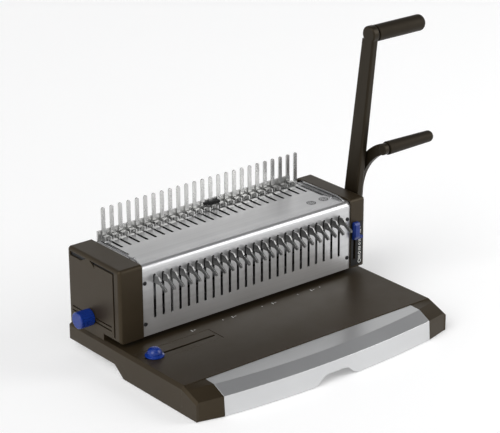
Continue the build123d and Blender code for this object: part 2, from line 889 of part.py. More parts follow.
# Margin knob: a fluted cap on a shaft with an eccentric that shifts the depth stop
margin_inner = head_left - 1.0
with BuildPart() as margin_knob:
    rod((margin_inner - margin_length, margin_inner), margin_y, margin_z, margin_radius)
    outer_rim = margin_knob.faces().sort_by(Axis.X)[0].edges()
    fillet(outer_rim, radius=1.6)
    with BuildSketch(section(margin_inner - margin_length + 4.0)):
        with Locations((margin_y, margin_z)):
            with PolarLocations(margin_radius + 0.5, 20):
                Circle(1.0)
    extrude(amount=margin_length - 4.0, mode=Mode.SUBTRACT)
finish(margin_knob, "margin_knob")

stop_lane = (head_left + 21.0, head_left + 27.0)
with BuildPart() as margin_shaft:
    rod((margin_inner, stop_lane[1] - 0.6), margin_y, margin_z, 4.0)
    rod((stop_lane[0] + 0.6, stop_lane[1] - 0.6), margin_y, margin_z + margin_throw, 7.0)
finish(margin_shaft, "margin_shaft")

# Depth stop: the bar that the sheets' edge meets, with an arm up to the eccentric
stop_y = (29.6, 33.0)
stop_z = (deck_top + 0.6, guide_under - 0.6)
stop_play = 0.35
with BuildPart() as depth_stop_bar:
    block((stop_lane[0], plate_right - 2.0), stop_y, stop_z)
finish(depth_stop_bar, "depth_stop_bar")

with BuildPart() as depth_stop_arm:
    with BuildSketch(section(stop_lane[0])):
        with BuildLine():
            Polyline(
                (stop_y[1], stop_z[0]),
                (stop_y[1] + 8.0, stop_z[1]),
                (margin_y + 8.0, margin_z - 13.0),
                (margin_y + 12.0, margin_z - 9.0),
                (margin_y + 12.0, margin_z + 13.0),
                (margin_y - 12.0, margin_z + 13.0),
                (margin_y - 13.0, margin_z - 3.0),
                (stop_y[1], stop_z[1] + 5.0),
                close=True,
            )
        make_face()
        with Locations((margin_y, margin_z + margin_throw / 2)):
            Rectangle(14.0 + 2 * stop_play, 17.0, mode=Mode.SUBTRACT)
    extrude(amount=stop_lane[1] - stop_lane[0])
finish(depth_stop_arm, "depth_stop_arm")

# Edge guide: a domed knob, its stem in the deck's slot and a clamp plate under the deck
knob_low = deck_top + 0.3
knob_top = deck_top + guide_knob_height
with BuildPart() as guide_knob:
    with BuildSketch(face(guide_line)):
        with BuildLine():
            Polyline(
                (guide_x + 2.0, knob_top),
                (guide_x, knob_top),
                (guide_x, knob_low),
                (guide_x + guide_knob_radius, knob_low),
                (guide_x + guide_knob_radius, knob_low + 1.5),
                (guide_x + guide_dome_radius, knob_low + 2.9),
            )
            ThreePointArc(
                (guide_x + guide_dome_radius, knob_low + 2.9),
                (guide_x + 0.8 * guide_dome_radius, knob_top - 3.0),
                (guide_x + 2.0, knob_top),
            )
        make_face()
    revolve(axis=Axis((machine_x + guide_x, machine_y + guide_line, 0), (0, 0, 1)))
finish(guide_knob, "guide_knob")

with BuildPart() as guide_stem:
    pillar(guide_x, guide_line, (deck_under - 0.3, deck_top + 0.3), 1.7)
finish(guide_stem, "guide_stem")

with BuildPart() as guide_clamp:
    block(
        (guide_x - 9.0, guide_x + 9.0),
        (guide_line - 9.0, guide_line + 9.0),
        (deck_under - 2.1, deck_under - 0.3),
    )
finish(guide_clamp, "guide_clamp")

# Punch lever: arm, grip rod, grip, tube shaft and three eccentrics
arm_foot_x, arm_foot_y = punch_arm_foot
arm_head_x, arm_head_y = punch_arm_head
arm_head_z = punch_grip_z - 8.0
grip_gap = 2.2
punch_grip_start = punch_arm_x + arm_head_x + grip_gap
punch_grip_end = grip_end - grip_stagger
punch_rod_ends = (punch_arm_x + 4.0, punch_grip_end - 8.0)
with BuildPart() as punch_lever_arm:
    rod((punch_arm_x, punch_arm_x + arm_foot_x), pivot_y, pivot_z, arm_foot_y / 2 + 1.0)
    rod((punch_arm_x, punch_arm_x + arm_head_x), punch_grip_y, punch_grip_z, punch_grip_radius + 0.5)
    fillet(punch_lever_arm.edges().filter_by(GeomType.CIRCLE), radius=2.0)
    with BuildSketch(level(pivot_z)):
        with Locations((punch_arm_x + arm_foot_x / 2, pivot_y)):
            RectangleRounded(arm_foot_x, arm_foot_y, 3.0)
    with BuildSketch(level(arm_head_z)):
        with Locations((punch_arm_x + arm_head_x / 2, punch_grip_y + 2.0)):
            RectangleRounded(arm_head_x, arm_head_y, 3.0)
    loft(ruled=True)
    rod(
        (punch_arm_x - 1.0, punch_arm_x + arm_foot_x + 1.0),
        pivot_y,
        pivot_z,
        tube_radius,
        Mode.SUBTRACT,
    )
    rod(
        (punch_rod_ends[0], punch_grip_end),
        punch_grip_y,
        punch_grip_z,
        grip_rod_radius,
        Mode.SUBTRACT,
    )
finish(punch_lever_arm, "punch_lever_arm")

with BuildPart() as punch_grip_rod:
    rod(punch_rod_ends, punch_grip_y, punch_grip_z, grip_rod_radius)
finish(punch_grip_rod, "punch_grip_rod")

with BuildPart() as punch_grip:
    rod((punch_grip_start, punch_grip_end), punch_grip_y, punch_grip_z, punch_grip_radius)
    grip_ends = punch_grip.faces().filter_by(Axis.X).sort_by(Axis.X)
    fillet(grip_ends[-1].edges(), radius=7.0)
    fillet(grip_ends[0].edges(), radius=1.2)
    rod(
        (punch_grip_start - 1.0, punch_rod_ends[1]),
        punch_grip_y,
        punch_grip_z,
        grip_rod_radius,
        Mode.SUBTRACT,
    )
finish(punch_grip, "punch_grip")

tube_left = panel_left + 18.5
with BuildPart() as punch_shaft:
    rod((tube_left, punch_arm_x + arm_foot_x), pivot_y, pivot_z, tube_radius)
    rod(
        (tube_left - 1.0, punch_arm_x + arm_foot_x + 1.0),
        pivot_y,
        pivot_z,
        comb_rod_radius + running,
        Mode.SUBTRACT,
    )
finish(punch_shaft, "punch_shaft")

cam_lag = radians(punch_swing / 2)
cam_y = pivot_y - cam_throw * cos(cam_lag)
cam_z = pivot_z + cam_throw * sin(cam_lag)
cam_places = (tube_left + 14.0, panel_middle, plate_right - 38.0)
with BuildPart() as punch_cams:
    for cam_x in cam_places:
        cam_span = (cam_x - cam_thickness / 2, cam_x + cam_thickness / 2)
        rod(cam_span, cam_y, cam_z, cam_radius)
        rod(cam_span, pivot_y, pivot_z, tube_radius, Mode.SUBTRACT)
finish(punch_cams, "punch_cams")

# Punch bar and pins: pressed down by the eccentrics, lifted by the springs
cam_gap = 0.35
bar_top = cam_z - cam_radius - cam_gap
bar_low = guide_top + punch_stroke + 1.1
with BuildPart() as punch_bar:
    block(
        (row[0] - hole_width / 2 - 2.0, row[-1] + hole_width / 2 + 2.0),
        (punch_line - 7.0, pivot_y + 4.0),
        (bar_low, bar_top),
    )
    for tooth in (4, comb_teeth - 5):
        with Locations(
            Location((machine_x + row[tooth] + comb_pitch / 2, machine_y + 34.0, bar_low - 1.0))
        ):
            Cylinder(3.6, 20.0, align=(Align.CENTER, Align.CENTER, Align.MIN), mode=Mode.SUBTRACT)
finish(punch_bar, "punch_bar")

with BuildPart() as punch_pins:
    for tooth_x in row:
        block(
            (tooth_x - hole_width / 2, tooth_x + hole_width / 2),
            (punch_line - hole_depth / 2, punch_line + hole_depth / 2),
            (guide_under + 0.9, bar_low),
        )
finish(punch_pins, "punch_pins")

# Return springs: coils between the punch bar and the spring bar
spring_radius = 3.4
spring_wire = 0.6
spring_turns = 9
spring_low = bar_top + spring_wire
spring_high = spring_bar_z - spring_bar_radius - spring_wire
spring_pitch = (spring_high - spring_low) / spring_turns
with BuildPart() as return_springs:
    for tooth in (7, comb_teeth - 8):
        coil_x = machine_x + row[tooth] + comb_pitch / 2
        coil_foot = Location((coil_x, machine_y + spring_y, spring_low))
        coil = Helix(spring_pitch, spring_high - spring_low, spring_radius, mode=Mode.PRIVATE)
        path = coil.moved(coil_foot)
        start = Plane(origin=path @ 0, z_dir=path % 0)
        with BuildSketch(start):
            Circle(spring_wire)
        sweep(path=path, is_frenet=True)
finish(return_springs, "return_springs")

# Comb lever: arm, grip rod, grip, long rod, bell crank and the parts that hold it on
with BuildPart() as comb_lever_arm:
    with BuildSketch(section(comb_arm_x)):
        with BuildLine() as bend:
            upright = Line((pivot_y, pivot_z), (pivot_y - 5.0, 150.0))
            TangentArc(upright @ 1, (comb_grip_y + 8.0, comb_grip_z - 3.0), tangent=upright % 1)
        trace(bend.line, line_width=comb_arm_width)
        with Locations((pivot_y, pivot_z)):
            Circle(comb_arm_width / 2 + 6.0)
        with Locations((comb_grip_y, comb_grip_z)):
            Circle(comb_arm_width / 2 + 0.5)
    extrude(amount=comb_arm_thickness)
    with BuildSketch(section(comb_arm_x)):
        with Locations((pivot_y, pivot_z)):
            Circle(comb_rod_radius)
        with Locations((comb_grip_y, comb_grip_z)):
            Circle(grip_rod_radius)
    extrude(amount=comb_arm_thickness, mode=Mode.SUBTRACT)
finish(comb_lever_arm, "comb_lever_arm")

comb_arm_outer = comb_arm_x + comb_arm_thickness
comb_grip_start = comb_arm_outer + 2.0
with BuildPart() as comb_grip_rod:
    rod((comb_arm_x, grip_end - 10.0), comb_grip_y, comb_grip_z, grip_rod_radius)
finish(comb_grip_rod, "comb_grip_rod")

with BuildPart() as comb_grip:
    with Locations(
        Location((machine_x + comb_grip_start, machine_y + comb_grip_y, comb_grip_z), (0, 90, 0))
    ):
        Cone(
            comb_grip_radius,
            comb_grip_radius - 1.6,
            grip_end - comb_grip_start,
            align=(Align.CENTER, Align.CENTER, Align.MIN),
        )
    grip_ends = comb_grip.faces().filter_by(Axis.X).sort_by(Axis.X)
    fillet(grip_ends[-1].edges(), radius=6.4)
    fillet(grip_ends[0].edges(), radius=1.2)
    rod((comb_grip_start - 1.0, grip_end - 10.0), comb_grip_y, comb_grip_z, grip_rod_radius, Mode.SUBTRACT)
finish(comb_grip, "comb_grip")

with BuildPart() as comb_shaft:
    rod((panel_left - 3.0, comb_arm_outer), pivot_y, pivot_z, comb_rod_radius)
finish(comb_shaft, "comb_shaft")

with BuildPart() as lever_washer:
    rod((punch_arm_x + arm_foot_x + 0.3, comb_arm_x), pivot_y, pivot_z, 13.0)
    rod((punch_arm_x + arm_foot_x, comb_arm_x + 1.0), pivot_y, pivot_z, comb_rod_radius, Mode.SUBTRACT)
finish(lever_washer, "lever_washer")

with BuildPart() as lever_bolt:
    rod((comb_arm_outer, comb_arm_outer + 1.6), pivot_y, pivot_z, 11.0)
    with BuildSketch(section(comb_arm_outer + 1.6)):
        with Locations((pivot_y, pivot_z)):
            RegularPolygon(7.5, 6)
    extrude(amount=5.0)
finish(lever_bolt, "lever_bolt")

crank_lane = (plate_left + 4.4, plate_left + 10.4)
front_lane = (plate_left + 1.0, crank_lane[0])
top_lane = (crank_lane[1], plate_left + 14.2)
half_swing = radians(comb_swing / 2)
front_pin = (pivot_y - front_crank * cos(half_swing), pivot_z + front_crank * sin(half_swing))
top_pin = (pivot_y + top_crank * sin(half_swing), pivot_z + top_crank * cos(half_swing))
with BuildPart() as comb_crank:
    with BuildSketch(section(crank_lane[0])):
        with BuildLine() as front_arm:
            Line((pivot_y, pivot_z), front_pin)
        trace(front_arm.line, line_width=10.0)
        with BuildLine() as top_arm:
            Line((pivot_y, pivot_z), top_pin)
        trace(top_arm.line, line_width=10.0)
        for centre, radius in (((pivot_y, pivot_z), 12.0), (front_pin, 5.4), (top_pin, 5.4)):
            with Locations(centre):
                Circle(radius)
        with Locations((pivot_y, pivot_z)):
            Circle(comb_rod_radius, mode=Mode.SUBTRACT)
    extrude(amount=crank_lane[1] - crank_lane[0])
    rod((front_lane[0], crank_lane[0]), front_pin[0], front_pin[1], crank_pin_radius)
    rod((crank_lane[1], top_lane[1]), top_pin[0], top_pin[1], crank_pin_radius)
finish(comb_crank, "comb_crank")

# Front hook plate and hooks: ride down behind the front panel
lug_thickness = 3.0
plate_y = (3.7, 5.7)
plate_z = (118.0, 136.0)
guide_rod_x = (row[2] + comb_pitch / 2, row[-3] - comb_pitch / 2)
guide_rod_y = 9.4
guide_rod_radius = 2.5
with BuildPart() as front_hook_plate:
    block((front_lane[0], row[-1] + 8.0), plate_y, plate_z)
    with BuildSketch(section(front_lane[0])):
        with BuildLine():
            Polyline(
                (plate_y[0], plate_z[0]),
                (plate_y[0], front_pin[1] + crank_pin_radius + front_play),
                (front_pin[0] + crank_pin_radius + 1.5, front_pin[1] + crank_pin_radius + front_play),
                (front_pin[0] + crank_pin_radius + 1.5, front_pin[1] - crank_pin_radius - front_play),
                (plate_y[0], front_pin[1] - crank_pin_radius - front_play),
                (plate_y[0], front_pin[1] - crank_pin_radius - front_play - 5.0),
                (front_pin[0] + 12.0, front_pin[1] - crank_pin_radius - front_play - 5.0),
                (front_pin[0] + 12.0, plate_z[1]),
                (plate_y[0], plate_z[1]),
                close=True,
            )
        make_face()
    extrude(amount=lug_thickness - 0.4)
    for rod_x in guide_rod_x:
        block((rod_x - 5.0, rod_x + 5.0), (plate_y[1], guide_rod_y + 5.0), (plate_z[0], plate_z[1]))
        pillar(
            rod_x,
            guide_rod_y,
            (plate_z[0] - 1.0, plate_z[1] + 1.0),
            guide_rod_radius + running,
            Mode.SUBTRACT,
        )
finish(front_hook_plate, "front_hook_plate")

with BuildPart() as guide_rods:
    for rod_x in guide_rod_x:
        pillar(rod_x, guide_rod_y, (guide_top, plate_top - 0.8), guide_rod_radius)
finish(guide_rods, "guide_rods")

with BuildPart() as front_hooks:
    for tooth_x in row:
        with BuildSketch(section(tooth_x - hook_thickness / 2)):
            with BuildLine():
                Polyline(
                    (plate_y[0], 121.5),
                    (-12.0, 122.5),
                    (-24.6, 115.6),
                    (-27.6, 117.2),
                    (-27.8, 119.8),
                    (-14.0, 128.5),
                    (-10.0, 133.0),
                    (plate_y[0], 133.0),
                    close=True,
                )
            make_face()
        extrude(amount=hook_thickness)
finish(front_hooks, "front_hooks")

# Top hook bar and hooks: ride forward under the top plate
lug_low = top_pin[1] - crank_pin_radius - 3.0
lug_slot = (lug_low + 1.0, pivot_z + top_crank + crank_pin_radius + 1.2)
with BuildPart() as top_hook_bar:
    block((panel_left + 0.6, panel_right - 0.6), hook_bar_y, hook_bar_z)
    with BuildSketch(section(top_lane[0] + 0.6)):
        with BuildLine():
            Polyline(
                (top_pin[0] - 10.0, lug_low),
                (top_pin[0] + 10.0, lug_low),
                (hook_bar_y[1], hook_bar_z[0]),
                (hook_bar_y[0] - 14.0, hook_bar_z[0]),
                (top_pin[0] - 10.0, lug_slot[1] + 6.0),
                close=True,
            )
        make_face()
        with Locations((top_pin[0], (lug_low - 1.0 + lug_slot[1]) / 2)):
            Rectangle(
                2 * (crank_pin_radius + top_play),
                lug_slot[1] - lug_low + 1.0,
                mode=Mode.SUBTRACT,
            )
    extrude(amount=lug_thickness)
finish(top_hook_bar, "top_hook_bar")

head_y = (hook_bar_y[1] + 0.2, top_rear - 0.8)
with BuildPart() as top_hooks:
    for tooth_x in row:
        stem = (tooth_x - hook_thickness / 2, tooth_x + hook_thickness / 2)
        block(stem, (hook_bar_y[0] + 2.0, hook_bar_y[1]), (hook_bar_z[1], panel_top + 1.2))
        block(stem, (hook_bar_y[0] + 2.0, head_y[1]), (panel_top + 1.2, panel_top + 7.0))
        block(
            (tooth_x + post_offset - post_width / 2, tooth_x + hook_thickness / 2),
            (head_y[0] - 1.4, head_y[1]),
            (panel_top + 1.2, panel_top + 7.0),
        )
        block(
            (tooth_x + post_offset - 1.4, tooth_x + post_offset + 1.4),
            (head_y[0] - 2.0, head_y[1] - 1.2),
            (panel_top + 1.0, panel_top + 5.4),
            Mode.SUBTRACT,
        )
finish(top_hooks, "top_hooks")
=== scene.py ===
import json
import math
import random

import bmesh
import bpy
from mathutils import Matrix, Vector


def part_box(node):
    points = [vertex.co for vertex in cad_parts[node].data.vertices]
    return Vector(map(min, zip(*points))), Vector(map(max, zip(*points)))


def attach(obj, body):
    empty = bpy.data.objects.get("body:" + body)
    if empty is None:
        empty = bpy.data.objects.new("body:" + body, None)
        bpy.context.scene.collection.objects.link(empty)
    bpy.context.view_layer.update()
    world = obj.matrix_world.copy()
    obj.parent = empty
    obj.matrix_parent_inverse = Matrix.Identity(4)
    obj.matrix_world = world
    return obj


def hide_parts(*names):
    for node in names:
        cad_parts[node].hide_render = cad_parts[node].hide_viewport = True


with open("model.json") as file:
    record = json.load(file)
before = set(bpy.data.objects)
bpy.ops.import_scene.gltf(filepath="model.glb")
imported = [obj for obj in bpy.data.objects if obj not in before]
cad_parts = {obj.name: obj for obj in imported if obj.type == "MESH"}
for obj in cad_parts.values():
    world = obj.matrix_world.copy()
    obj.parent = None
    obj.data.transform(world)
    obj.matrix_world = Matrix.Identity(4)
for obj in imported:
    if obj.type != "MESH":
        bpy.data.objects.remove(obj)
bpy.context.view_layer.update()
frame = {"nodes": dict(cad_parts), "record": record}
cadNodes = frame["nodes"]
dice = random.Random(7)
mm = 0.001
inkThick = 0.08 * mm

print("stage 1: frame loaded,", len(cadNodes), "parts")

# places that the details hang on, all read from the machine's own parts
coverLow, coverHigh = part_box("base_cover")
panelLow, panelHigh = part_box("front_panel")
plateLow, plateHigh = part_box("top_plate")
stripLow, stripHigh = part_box("scale_plate")
middleX = (coverLow.x + coverHigh.x) / 2
panelY = panelLow.y
deckZ = coverHigh.z


def startGroup(name, inputs, outputs):
    group = bpy.data.node_groups.new(name, "ShaderNodeTree")
    for label, kind, value in inputs:
        socket = group.interface.new_socket(name=label, in_out="INPUT", socket_type=kind)
        socket.default_value = value
    for label, kind in outputs:
        group.interface.new_socket(name=label, in_out="OUTPUT", socket_type=kind)
    entry = group.nodes.new("NodeGroupInput")
    leave = group.nodes.new("NodeGroupOutput")
    return group, entry, leave


def addNode(tree, kind, **values):
    node = tree.nodes.new(kind)
    for key, value in values.items():
        setattr(node, key, value)
    return node


def wire(tree, source, target):
    tree.links.new(source, target)


def maths(tree, operation, first, second, clamp=False):
    node = addNode(tree, "ShaderNodeMath", operation=operation, use_clamp=clamp)
    for socket, value in zip(node.inputs, (first, second)):
        if isinstance(value, (int, float)):
            socket.default_value = value
        else:
            wire(tree, value, socket)
    return node.outputs[0]


# pitted mould texture: fine cells over soft grain, and a slow drift of tone
def mouldGrainGroup():
    group, entry, leave = startGroup(
        "mouldGrain",
        [("Cells", "NodeSocketFloat", 900.0), ("Drift", "NodeSocketFloat", 9.0)],
        [("Height", "NodeSocketFloat"), ("Tone", "NodeSocketFloat")],
    )
    place = addNode(group, "ShaderNodeTexCoord")
    cells = addNode(group, "ShaderNodeTexVoronoi", feature="SMOOTH_F1")
    cells.inputs["Smoothness"].default_value = 0.6
    grain = addNode(group, "ShaderNodeTexNoise")
    grain.inputs["Detail"].default_value = 3.0
    drift = addNode(group, "ShaderNodeTexNoise")
    drift.inputs["Detail"].default_value = 4.0
    drift.inputs["Roughness"].default_value = 0.55
    for texture in (cells, grain, drift):
        wire(group, place.outputs["Object"], texture.inputs["Vector"])
    wire(group, entry.outputs["Cells"], cells.inputs["Scale"])
    wire(group, maths(group, "MULTIPLY", entry.outputs["Cells"], 0.45), grain.inputs["Scale"])
    wire(group, entry.outputs["Drift"], drift.inputs["Scale"])
    height = maths(group, "ADD", cells.outputs["Distance"], grain.outputs["Fac"])
    wire(group, maths(group, "MULTIPLY", height, 0.5), leave.inputs["Height"])
    wire(group, drift.outputs["Fac"], leave.inputs["Tone"])
    return group


# brushing: hairlines drawn out along one direction, with broad soft bands among them
def brushingGroup():
    group, entry, leave = startGroup(
        "brushing",
        [("Stretch", "NodeSocketVector", (6.0, 900.0, 900.0)), ("Bands", "NodeSocketFloat", 0.08)],
        [("Height", "NodeSocketFloat"), ("Streak", "NodeSocketFloat")],
    )
    place = addNode(group, "ShaderNodeTexCoord")
    stretch = addNode(group, "ShaderNodeVectorMath", operation="MULTIPLY")
    wire(group, place.outputs["Object"], stretch.inputs[0])
    wire(group, entry.outputs["Stretch"], stretch.inputs[1])
    hairs = addNode(group, "ShaderNodeTexNoise")
    hairs.inputs["Scale"].default_value = 1.0
    hairs.inputs["Detail"].default_value = 5.0
    hairs.inputs["Roughness"].default_value = 0.7
    wire(group, stretch.outputs[0], hairs.inputs["Vector"])
    wide = addNode(group, "ShaderNodeTexNoise")
    wide.inputs["Detail"].default_value = 2.0
    wire(group, stretch.outputs[0], wide.inputs["Vector"])
    wire(group, entry.outputs["Bands"], wide.inputs["Scale"])
    both = maths(group, "ADD", hairs.outputs["Fac"], wide.outputs["Fac"])
    wire(group, hairs.outputs["Fac"], leave.inputs["Height"])
    wire(group, maths(group, "MULTIPLY", both, 0.5), leave.inputs["Streak"])
    return group


# soft edge: a rounded normal at sharp edges, and a mask of where they are
def softEdgeGroup():
    group, entry, leave = startGroup(
        "softEdge",
        [("Radius", "NodeSocketFloat", 0.0006), ("Reach", "NodeSocketFloat", 0.25)],
        [("Normal", "NodeSocketVector"), ("Edge", "NodeSocketFloat")],
    )
    bevel = addNode(group, "ShaderNodeBevel", samples=4)
    wire(group, entry.outputs["Radius"], bevel.inputs["Radius"])
    surface = addNode(group, "ShaderNodeNewGeometry")
    turn = addNode(group, "ShaderNodeVectorMath", operation="DOT_PRODUCT")
    wire(group, bevel.outputs["Normal"], turn.inputs[0])
    wire(group, surface.outputs["True Normal"], turn.inputs[1])
    bend = maths(group, "SUBTRACT", 1.0, turn.outputs["Value"])
    edge = maths(group, "DIVIDE", bend, entry.outputs["Reach"], clamp=True)
    wire(group, bevel.outputs["Normal"], leave.inputs["Normal"])
    wire(group, edge, leave.inputs["Edge"])
    return group


# handling: blotches that hands and dust leave on the gloss
def handlingGroup():
    group, entry, leave = startGroup(
        "handling",
        [
            ("Size", "NodeSocketFloat", 28.0),
            ("Low", "NodeSocketFloat", 0.35),
            ("High", "NodeSocketFloat", 0.5),
        ],
        [("Gloss", "NodeSocketFloat"), ("Blotch", "NodeSocketFloat")],
    )
    place = addNode(group, "ShaderNodeTexCoord")
    blotch = addNode(group, "ShaderNodeTexNoise")
    blotch.inputs["Detail"].default_value = 6.0
    blotch.inputs["Roughness"].default_value = 0.6
    wire(group, place.outputs["Object"], blotch.inputs["Vector"])
    wire(group, entry.outputs["Size"], blotch.inputs["Scale"])
    spread = addNode(group, "ShaderNodeMapRange")
    spread.inputs["From Min"].default_value = 0.3
    spread.inputs["From Max"].default_value = 0.7
    wire(group, blotch.outputs["Fac"], spread.inputs["Value"])
    wire(group, entry.outputs["Low"], spread.inputs["To Min"])
    wire(group, entry.outputs["High"], spread.inputs["To Max"])
    wire(group, spread.outputs["Result"], leave.inputs["Gloss"])
    wire(group, blotch.outputs["Fac"], leave.inputs["Blotch"])
    return group


# painted shade: a mask of the faces that look left or right, the punched walls of the slots, which the finish
# paints near black
def cutFaceGroup():
    group, entry, leave = startGroup(
        "cutFace", [("Least", "NodeSocketFloat", 0.7)], [("WallShade", "NodeSocketFloat")]
    )
    surface = addNode(group, "ShaderNodeNewGeometry")
    split = addNode(group, "ShaderNodeSeparateXYZ")
    wire(group, surface.outputs["True Normal"], split.inputs[0])
    sideways = maths(group, "ABSOLUTE", split.outputs["X"], 0.0)
    wire(group, maths(group, "GREATER_THAN", sideways, entry.outputs["Least"]), leave.inputs["WallShade"])
    return group


groups = {
    "cutFace": cutFaceGroup(),
    "grain": mouldGrainGroup(),
    "brushing": brushingGroup(),
    "edge": softEdgeGroup(),
    "handling": handlingGroup(),
}
print("stage 2: shader groups built")


def placeGroup(tree, key, **values):
    node = addNode(tree, "ShaderNodeGroup", node_tree=groups[key])
    for label, value in values.items():
        node.inputs[label].default_value = value
    return node


def blendColours(tree, factor, first, second):
    mix = addNode(tree, "ShaderNodeMix", data_type="RGBA")
    wire(tree, factor, mix.inputs["Factor"])
    for label, value in (("A", first), ("B", second)):
        socket = next(s for s in mix.inputs if s.name == label and s.type == "RGBA")
        if isinstance(value, tuple):
            socket.default_value = (*value, 1.0)
        else:
            wire(tree, value, socket)
    return next(s for s in mix.outputs if s.type == "RGBA")


def makeFinish(name, look):
    finish = bpy.data.materials.new(name)
    finish.use_nodes = True
    tree = finish.node_tree
    shader = tree.nodes["Principled BSDF"]
    shader.inputs["Metallic"].default_value = look["metal"]
    shader.inputs["IOR"].default_value = look.get("ior", 1.5)
    if "tint" in look:
        shader.inputs["Specular Tint"].default_value = (*look["tint"], 1.0)
    if "coat" in look:
        shader.inputs["Coat Weight"].default_value = look["coat"]
        shader.inputs["Coat Roughness"].default_value = look["coatRough"]
    edge = placeGroup(tree, "edge", Radius=look["edge"] * mm)
    handling = placeGroup(tree, "handling", Size=look["blotch"], Low=look["rough"][0], High=look["rough"][1])
    wire(tree, handling.outputs["Gloss"], shader.inputs["Roughness"])
    if "brush" in look:
        surface = placeGroup(tree, "brushing", Stretch=look["brush"], Bands=look["bands"])
        tone = surface.outputs["Streak"]
    else:
        surface = placeGroup(tree, "grain", Cells=look["cells"], Drift=look["drift"])
        tone = surface.outputs["Tone"]
    spread = addNode(tree, "ShaderNodeMapRange")
    spread.inputs["From Min"].default_value = 0.32
    spread.inputs["From Max"].default_value = 0.68
    wire(tree, tone, spread.inputs["Value"])
    body = blendColours(tree, spread.outputs["Result"], look["deep"], look["light"])
    # lighter rounded edges: partly abrasion, partly a painted highlight
    edgeWearAndHighlightMask = maths(tree, "MULTIPLY", edge.outputs["Edge"], look["edgeWearAndHighlightShare"])
    colour = blendColours(tree, edgeWearAndHighlightMask, body, look["edgeWearAndHighlight"])
    # painted shade: the slot walls, faces that look left or right, take the near-black cut colour
    if "cut" in look:
        cut = placeGroup(tree, "cutFace", Least=0.7)
        colour = blendColours(tree, cut.outputs["WallShade"], colour, look["cut"])
    wire(tree, colour, shader.inputs["Base Color"])
    bump = addNode(tree, "ShaderNodeBump")
    bump.inputs["Strength"].default_value = look["bump"]
    bump.inputs["Distance"].default_value = look["depth"] * mm
    wire(tree, surface.outputs["Height"], bump.inputs["Height"])
    wire(tree, edge.outputs["Normal"], bump.inputs["Normal"])
    wire(tree, bump.outputs["Normal"], shader.inputs["Normal"])
    return finish


# deep and light are the two ends of the tone, rough is the range of gloss, sizes are in millimetres; the
# colour at rounded edges is partly abrasion and partly a painted highlight
mouldedBrown = {
    "metal": 0.0, "ior": 1.42, "tint": (1.0, 0.84, 0.62), "deep": (0.0165, 0.0112, 0.0055),
    "light": (0.0235, 0.0165, 0.0086), "edgeWearAndHighlight": (0.075, 0.060, 0.042), "edgeWearAndHighlightShare": 0.4, "rough": (0.36, 0.46),
    "blotch": 14.0, "cells": 1300.0, "drift": 7.0, "bump": 0.25, "depth": 0.06, "edge": 0.9,
}
leverBrown = {
    "metal": 0.0, "ior": 1.36, "tint": (1.0, 0.84, 0.62), "deep": (0.0070, 0.0050, 0.0026),
    "light": (0.0110, 0.0080, 0.0043), "edgeWearAndHighlight": (0.050, 0.040, 0.028), "edgeWearAndHighlightShare": 0.4, "rough": (0.34, 0.44),
    "blotch": 20.0, "cells": 1700.0, "drift": 11.0, "bump": 0.18, "depth": 0.04, "edge": 1.0,
}
gripBrown = {
    "metal": 0.0, "ior": 1.34, "tint": (1.0, 0.84, 0.62), "deep": (0.0065, 0.0047, 0.0027),
    "light": (0.0105, 0.0077, 0.0046), "edgeWearAndHighlight": (0.040, 0.032, 0.023), "edgeWearAndHighlightShare": 0.3, "rough": (0.50, 0.62),
    "blotch": 30.0, "cells": 1100.0, "drift": 16.0, "bump": 0.35, "depth": 0.08, "edge": 0.8,
}
royalBlue = {
    "metal": 0.0, "ior": 1.40, "deep": (0.0022, 0.018, 0.150), "light": (0.0040, 0.030, 0.225),
    "edgeWearAndHighlight": (0.02, 0.10, 0.46), "edgeWearAndHighlightShare": 0.3, "rough": (0.20, 0.30), "blotch": 60.0, "cells": 1500.0,
    "drift": 40.0, "bump": 0.08, "depth": 0.03, "edge": 0.6, "coat": 0.10, "coatRough": 0.12,
}
matteBlack = {
    "metal": 0.0, "ior": 1.36, "deep": (0.0040, 0.0040, 0.0044), "light": (0.0075, 0.0075, 0.0080),
    "edgeWearAndHighlight": (0.03, 0.03, 0.03), "edgeWearAndHighlightShare": 0.3, "rough": (0.45, 0.58), "blotch": 30.0, "cells": 1400.0,
    "drift": 20.0, "bump": 0.2, "depth": 0.04, "edge": 0.5,
}
silverLacquer = {
    "metal": 0.85, "deep": (0.60, 0.605, 0.61), "light": (0.65, 0.655, 0.66), "edgeWearAndHighlight": (0.92, 0.92, 0.92),
    "edgeWearAndHighlightShare": 0.8, "rough": (0.27, 0.31), "blotch": 9.0, "cells": 1200.0, "drift": 5.0, "bump": 0.03,
    "depth": 0.01, "edge": 0.7,
}
# the cut colour below is painted shade on the slots' side walls
brushedSheet = {
    "metal": 0.85, "deep": (0.54, 0.54, 0.545), "light": (0.66, 0.66, 0.665), "edgeWearAndHighlight": (0.86, 0.86, 0.86),
    "cut": (0.020, 0.020, 0.021), "edgeWearAndHighlightShare": 0.5, "rough": (0.28, 0.36), "blotch": 18.0,
    "brush": (5.0, 1500.0, 1500.0), "bands": 0.06, "bump": 0.12, "depth": 0.02, "edge": 0.4,
}
hookSteel = {
    "metal": 1.0, "deep": (0.20, 0.20, 0.197), "light": (0.29, 0.29, 0.286), "edgeWearAndHighlight": (0.85, 0.85, 0.84),
    "edgeWearAndHighlightShare": 0.8, "rough": (0.26, 0.36), "blotch": 60.0, "brush": (900.0, 300.0, 300.0), "bands": 0.1,
    "bump": 0.06, "depth": 0.02, "edge": 0.4,
}
blackenedSteel = {
    "metal": 0.4, "deep": (0.012, 0.012, 0.013), "light": (0.022, 0.022, 0.023), "edgeWearAndHighlight": (0.12, 0.12, 0.12),
    "edgeWearAndHighlightShare": 0.5, "rough": (0.34, 0.46), "blotch": 30.0, "cells": 1500.0, "drift": 14.0, "bump": 0.12,
    "depth": 0.03, "edge": 0.35,
}
